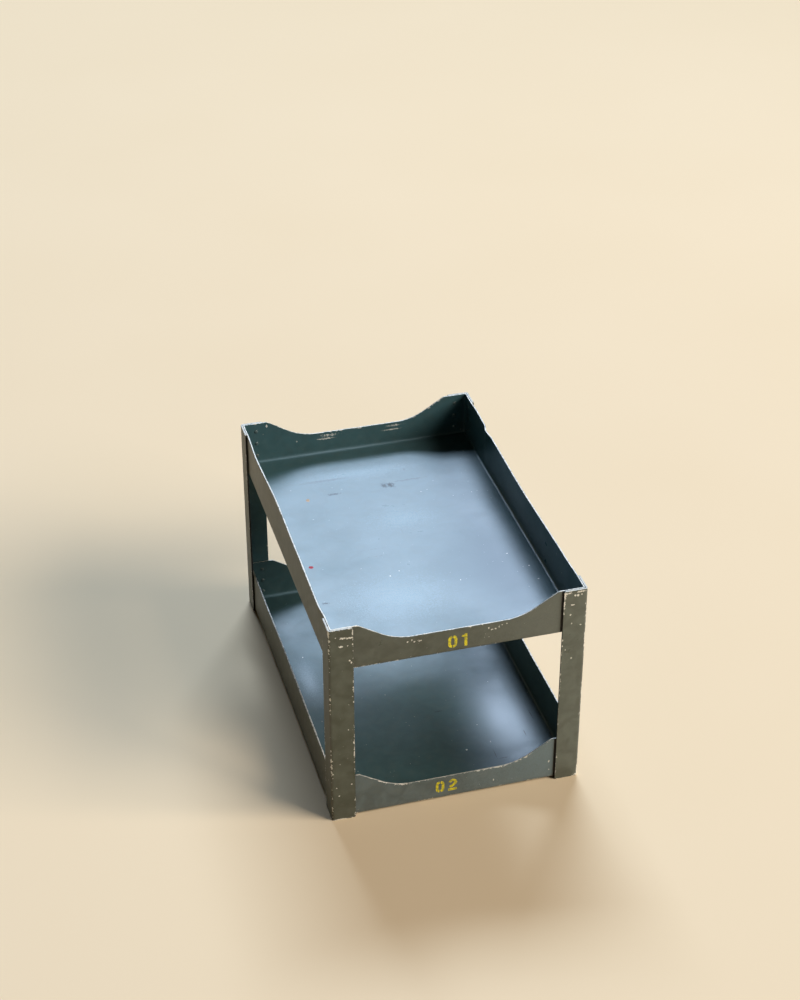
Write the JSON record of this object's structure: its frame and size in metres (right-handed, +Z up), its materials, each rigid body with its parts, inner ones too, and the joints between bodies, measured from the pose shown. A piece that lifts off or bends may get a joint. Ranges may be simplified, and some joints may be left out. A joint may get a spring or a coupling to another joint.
{
  "type": "desk tray",
  "caption": "Tiered open desk tray for papers: shallow sheet-metal pans with scooped ends, stacked between angle corner posts.",
  "frame": {"origin": "on the surface that the tray stands on, under the middle of the tray", "axes": "+X to the right as seen from the front, +Y to the rear along the trays, +Z up"},
  "size_m": [0.255, 0.385, 0.232],
  "materials": {
    "painted_sheet": "worn satin grey-green paint on folded steel sheet",
    "painted_post": "worn satin olive-grey paint on bent steel angle, chipped at the edges",
    "painted_rivet": "steel rivet painted over with the sheet it holds"
  },
  "bodies": {
    "root": {"upper_tray": "painted_sheet", "lower_tray": "painted_sheet", "front_left_post": "painted_post", "front_right_post": "painted_post", "rear_left_post": "painted_post", "rear_right_post": "painted_post", "front_left_upper_rivets": "painted_rivet", "front_left_lower_rivets": "painted_rivet", "front_right_upper_rivets": "painted_rivet", "front_right_lower_rivets": "painted_rivet", "rear_left_upper_rivets": "painted_rivet", "rear_left_lower_rivets": "painted_rivet", "rear_right_upper_rivets": "painted_rivet", "rear_right_lower_rivets": "painted_rivet"}
  },
  "joints": []
}
